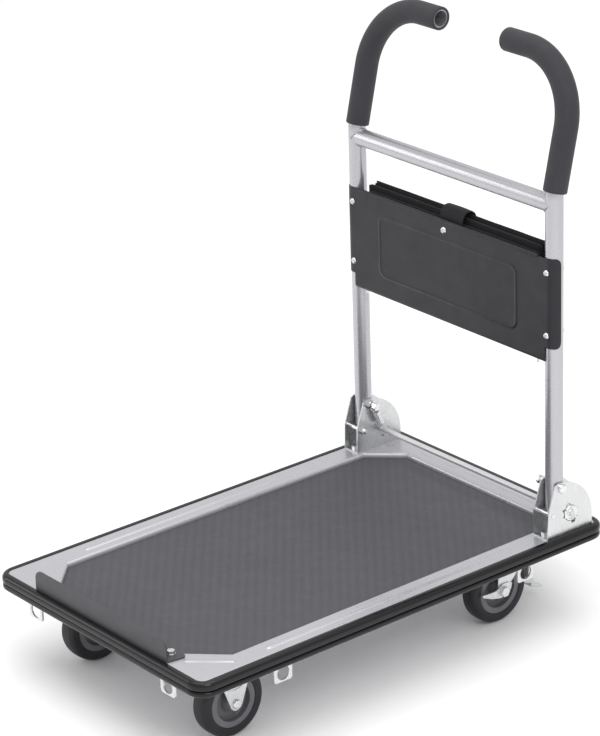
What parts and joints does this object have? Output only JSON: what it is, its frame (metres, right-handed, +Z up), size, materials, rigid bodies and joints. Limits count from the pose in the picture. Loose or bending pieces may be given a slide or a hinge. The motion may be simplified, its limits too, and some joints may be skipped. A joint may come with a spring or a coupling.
{
  "type": "folding platform cart",
  "caption": "Flat platform cart with raised steel edge and anti-slip mat, fold-down push handle with two grips, carrier panel with pocket, fixed front and braked swivel rear casters.",
  "frame": {"origin": "on the floor under the centre of the deck", "axes": "+Z up, +Y from the stop-rail end towards the push handle, +X to the right of that direction seen from above"},
  "size_m": [0.454, 0.718, 0.8202],
  "materials": {
    "pressed_steel_silver": "silver coat, semi gloss",
    "zinc_plate": "bright zinc plated",
    "mat_rubber": "matt, fine dimples",
    "bumper_pvc": "glossy extruded edging",
    "tube_silver": "silver coat, satin",
    "grip_foam": "matt foam",
    "dark_steel": "dark grey powder coat",
    "bag_fabric": "woven textile",
    "strap_webbing": "flat webbing",
    "wheel_grey": "moulded grey nylon",
    "tyre_rubber": "dark grey solid rubber",
    "pedal_plastic": "light grey",
    "fastener_zinc": "zinc plated",
    "spring_steel": "plated spring wire"
  },
  "bodies": {
    "deck": {"anti_slip_mat": "mat_rubber", "bracket_bolts": "fastener_zinc", "bracket_left": "zinc_plate", "bracket_nuts": "fastener_zinc", "bracket_right": "zinc_plate", "caster_nuts": "fastener_zinc", "caster_studs": "fastener_zinc", "deck_pressing": "pressed_steel_silver", "deck_stiffeners": "pressed_steel_silver", "edge_bumper": "bumper_pvc", "front_axle_bolts": "fastener_zinc", "front_axle_nuts": "fastener_zinc", "front_axle_sleeves": "fastener_zinc", "front_fork_left": "zinc_plate", "front_fork_right": "zinc_plate", "kingpins": "fastener_zinc", "lashing_eyes": "zinc_plate", "lock_springs": "spring_steel", "pivot_bolts": "fastener_zinc", "pivot_nuts": "fastener_zinc", "rear_top_plate_left": "zinc_plate", "rear_top_plate_right": "zinc_plate", "stop_pins": "fastener_zinc", "stop_rail": "dark_steel", "stop_rail_nuts": "fastener_zinc", "stop_rail_screws": "fastener_zinc"},
    "handle": {"handle_tube_left": "tube_silver", "handle_tube_right": "tube_silver", "crossbar": "tube_silver", "grip_left": "grip_foam", "grip_right": "grip_foam", "back_panel": "dark_steel", "panel_screws": "fastener_zinc", "panel_nuts": "fastener_zinc", "strap_screw": "fastener_zinc", "floor_screws": "fastener_zinc", "carry_bag": "bag_fabric", "bag_strap": "strap_webbing"},
    "release_rod": {"lock_rod": "fastener_zinc", "rod_washers": "fastener_zinc"},
    "front_wheel_left": {"front_wheel_rim_left": "wheel_grey", "front_tyre_left": "tyre_rubber"},
    "rear_swivel_left": {"rear_fork_left": "zinc_plate", "rear_axle_bolt_left": "fastener_zinc", "rear_axle_sleeve_nut_left": "fastener_zinc", "brake_stays_left": "zinc_plate", "pedal_pin_left": "fastener_zinc"},
    "rear_wheel_left": {"rear_wheel_rim_left": "wheel_grey", "rear_tyre_left": "tyre_rubber"},
    "brake_pedal_left": {"brake_pedal_left": "pedal_plastic"},
    "front_wheel_right": {"front_wheel_rim_right": "wheel_grey", "front_tyre_right": "tyre_rubber"},
    "rear_swivel_right": {"rear_fork_right": "zinc_plate", "rear_axle_bolt_right": "fastener_zinc", "rear_axle_sleeve_nut_right": "fastener_zinc", "brake_stays_right": "zinc_plate", "pedal_pin_right": "fastener_zinc"},
    "rear_wheel_right": {"rear_wheel_rim_right": "wheel_grey", "rear_tyre_right": "tyre_rubber"},
    "brake_pedal_right": {"brake_pedal_right": "pedal_plastic"}
  },
  "joints": [
    {"name": "handle_fold", "type": "hinge", "parent": "deck", "child": "handle", "pos_m": [0, 0.281, 0.206], "axis": [1, 0, 0], "range_deg": [0, 90]},
    {"name": "release_rod_slide", "type": "slide", "parent": "deck", "child": "release_rod", "axis": [0, 0.37, -0.929], "range_m": [0, 0.012], "stiffness_N_per_m": 1500, "springref_m": -0.006, "deforming": ["lock_springs"]},
    {"name": "front_wheel_spin_left", "type": "hinge", "parent": "deck", "child": "front_wheel_left", "pos_m": [-0.146, -0.254, 0.05], "axis": [1, 0, 0], "continuous": true},
    {"name": "rear_swivel_left", "type": "hinge", "parent": "deck", "child": "rear_swivel_left", "pos_m": [-0.141, 0.249, 0.11], "axis": [0, 0, 1], "continuous": true},
    {"name": "rear_wheel_spin_left", "type": "hinge", "parent": "rear_swivel_left", "child": "rear_wheel_left", "pos_m": [-0.141, 0.222, 0.05], "axis": [1, 0, 0], "continuous": true},
    {"name": "brake_pedal_tilt_left", "type": "hinge", "parent": "rear_swivel_left", "child": "brake_pedal_left", "pos_m": [-0.141, 0.271, 0.082], "axis": [-1, 0, 0], "range_deg": [0, 9]},
    {"name": "front_wheel_spin_right", "type": "hinge", "parent": "deck", "child": "front_wheel_right", "pos_m": [0.146, -0.254, 0.05], "axis": [1, 0, 0], "continuous": true},
    {"name": "rear_swivel_right", "type": "hinge", "parent": "deck", "child": "rear_swivel_right", "pos_m": [0.141, 0.249, 0.11], "axis": [0, 0, 1], "continuous": true},
    {"name": "rear_wheel_spin_right", "type": "hinge", "parent": "rear_swivel_right", "child": "rear_wheel_right", "pos_m": [0.141, 0.222, 0.05], "axis": [1, 0, 0], "continuous": true},
    {"name": "brake_pedal_tilt_right", "type": "hinge", "parent": "rear_swivel_right", "child": "brake_pedal_right", "pos_m": [0.141, 0.271, 0.082], "axis": [-1, 0, 0], "range_deg": [0, 9]}
  ]
}
